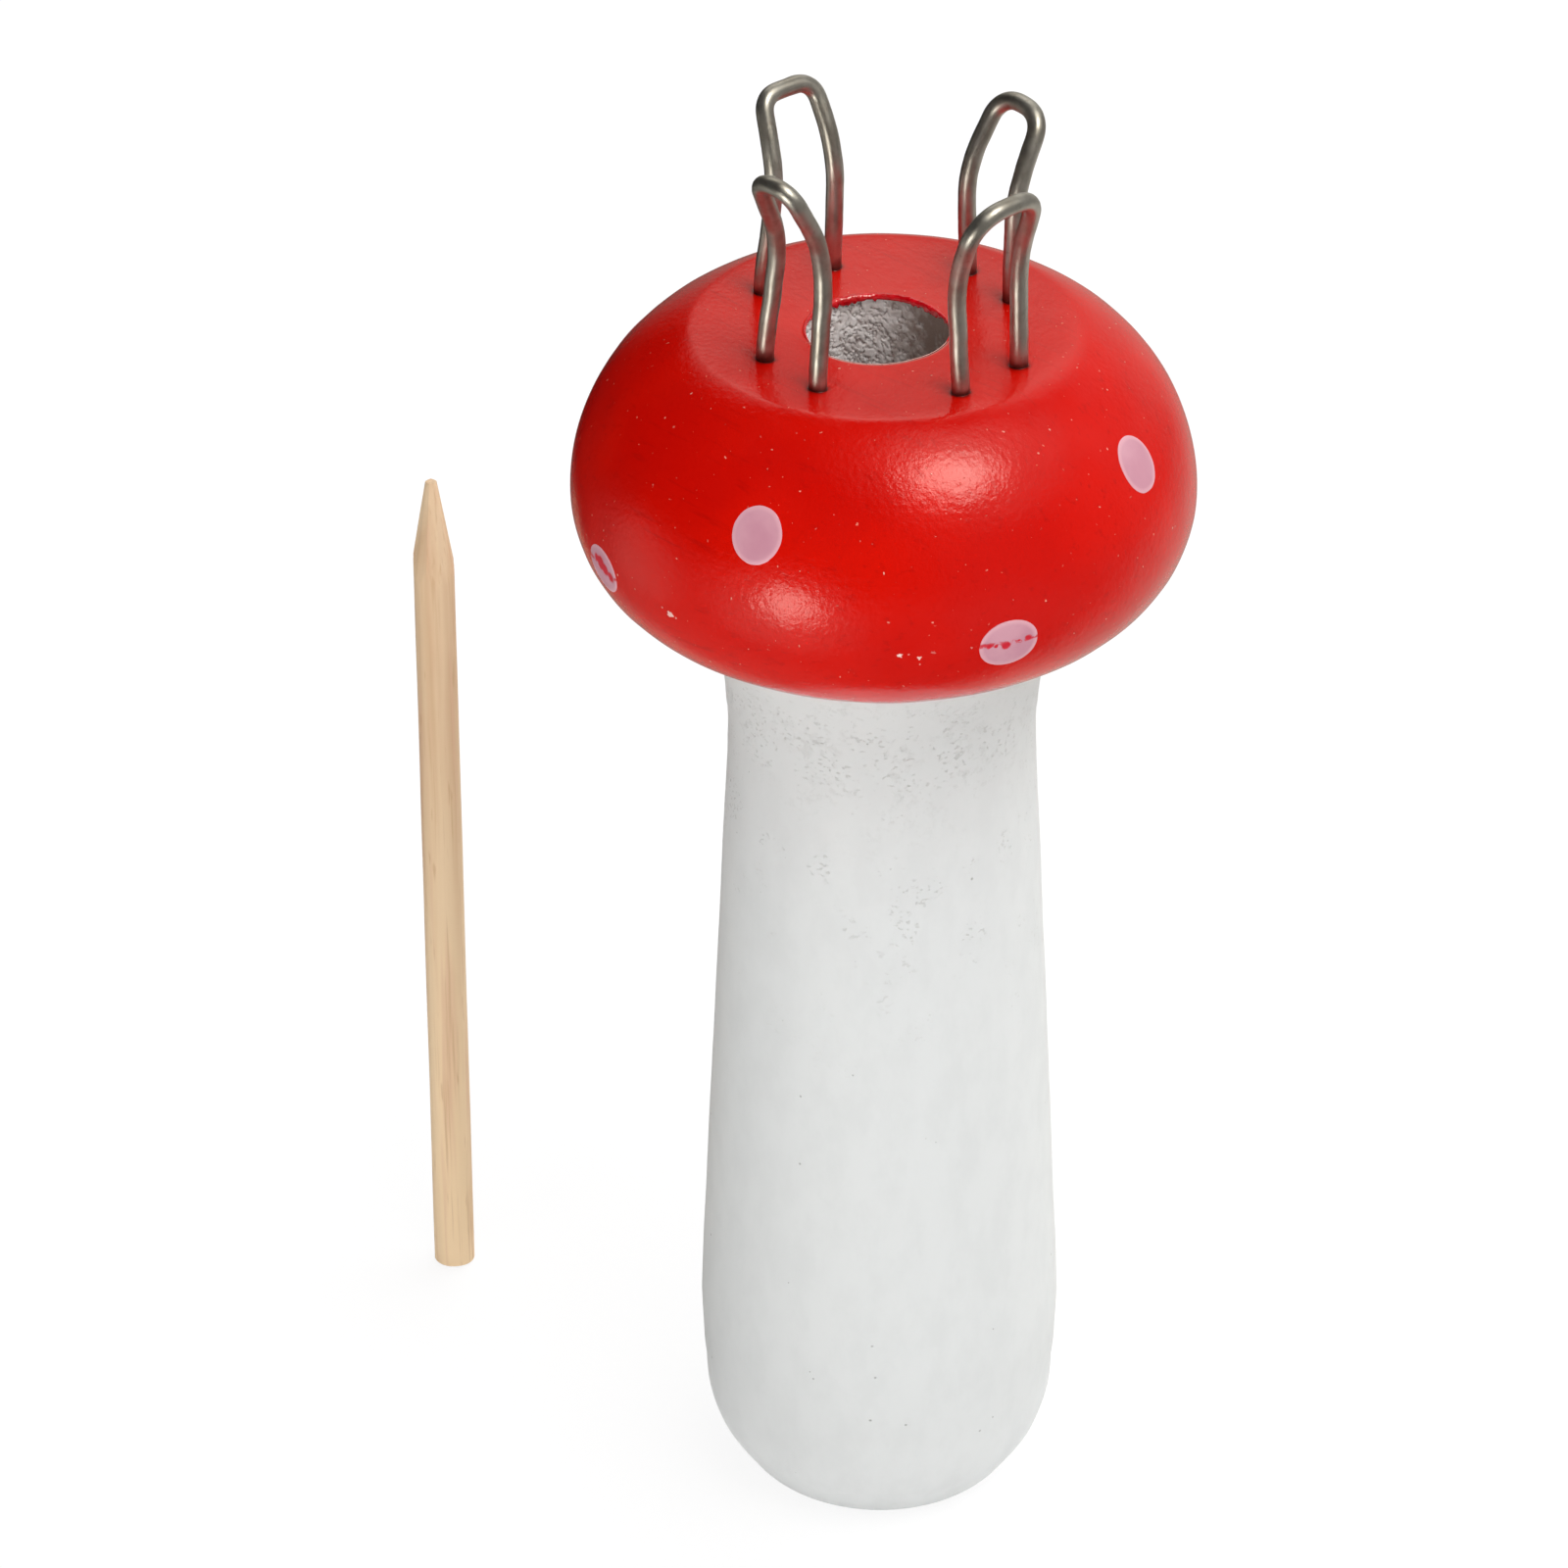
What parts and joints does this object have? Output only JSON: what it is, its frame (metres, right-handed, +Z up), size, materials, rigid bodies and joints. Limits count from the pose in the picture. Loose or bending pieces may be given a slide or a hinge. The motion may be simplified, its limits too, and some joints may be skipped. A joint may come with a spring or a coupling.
{
  "type": "knitting nancy",
  "caption": "Toadstool-shaped knitting nancy: tapered handle, rounded cap with wire loops round a through hole for the knitted cord, and a loose pointed stick.",
  "frame": {"origin": "on the axis of the through hole, at the foot", "axes": "+Z up along the hole to the wire loops, +X towards the loop that the picture shows at front right, +Y towards the one at back right"},
  "size_m": [0.0795, 0.055, 0.1414],
  "materials": {
    "white_paint": "white satin paint on turned wood",
    "red_lacquer": "red gloss lacquer on turned wood",
    "steel_wire": "drawn wire, dull shine",
    "spot_paint": "thin flat paint",
    "bare_wood": "plain sanded stick"
  },
  "bodies": {
    "nancy": {"stem": "white_paint", "cap": "red_lacquer", "loop_right": "steel_wire", "loop_back": "steel_wire", "loop_left": "steel_wire", "loop_front": "steel_wire", "cap_spots": "spot_paint"},
    "needle": {"needle": "bare_wood"}
  },
  "joints": [
    {"name": "needle_lift", "type": "slide", "parent": "nancy", "child": "needle", "axis": [0, 0, 1], "range_m": [0, 0.15]}
  ]
}
